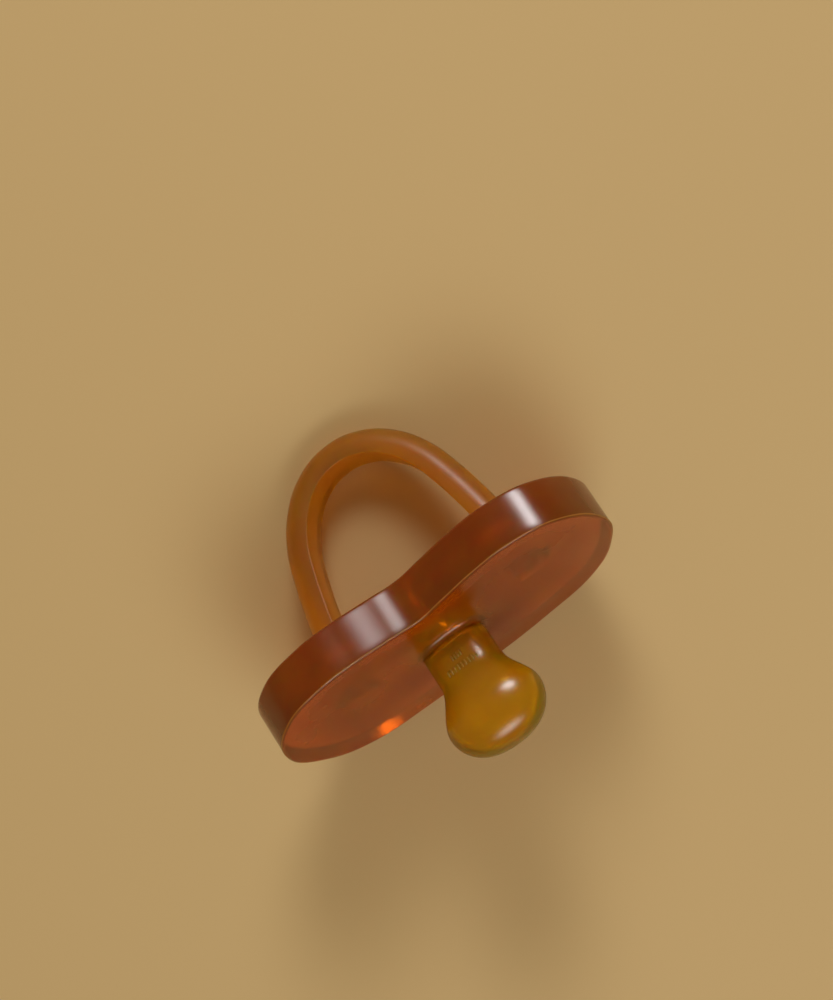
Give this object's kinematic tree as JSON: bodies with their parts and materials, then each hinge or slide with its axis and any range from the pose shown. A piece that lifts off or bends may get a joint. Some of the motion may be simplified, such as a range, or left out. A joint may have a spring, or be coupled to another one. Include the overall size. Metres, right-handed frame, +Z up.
{
  "type": "pacifier",
  "caption": "Moulded amber rubber pacifier: butterfly shield with a tall flat rim, D-shaped handle loop on the back, hollow orthodontic teat.",
  "frame": {"origin": "middle of the underside of the bounding box, on the floor that the object lies on", "axes": "+X along the shield's length, +Z up as the object lies at rest on the shield's chin edge and the loop's end, -Y towards the teat"},
  "size_m": [0.0584, 0.0514, 0.0309],
  "materials": {
    "rubber_shield": "smooth, translucent dark amber, thick",
    "rubber_loop": "smooth, translucent orange amber",
    "rubber_teat": "smooth, translucent yellow amber, thin wall"
  },
  "bodies": {
    "base": {"shield": "rubber_shield", "teat_flange": "rubber_shield", "loop_root_left": "rubber_shield", "loop_root_right": "rubber_shield"},
    "teat_body": {"teat": "rubber_teat"},
    "loop_body": {"handle_loop": "rubber_loop"}
  },
  "joints": [
    {"name": "loop_flex", "type": "hinge", "parent": "base", "child": "loop_body", "pos_m": [0, 0.00196, 0.01299], "axis": [1, 0, 0], "range_deg": [-55, 55], "stiffness_Nm_per_rad": 0.04},
    {"name": "teat_flex", "type": "hinge", "parent": "base", "child": "teat_body", "pos_m": [0, -0.00832, 0.01768], "axis": [1, 0, 0], "range_deg": [-18, 18], "stiffness_Nm_per_rad": 0.03}
  ]
}
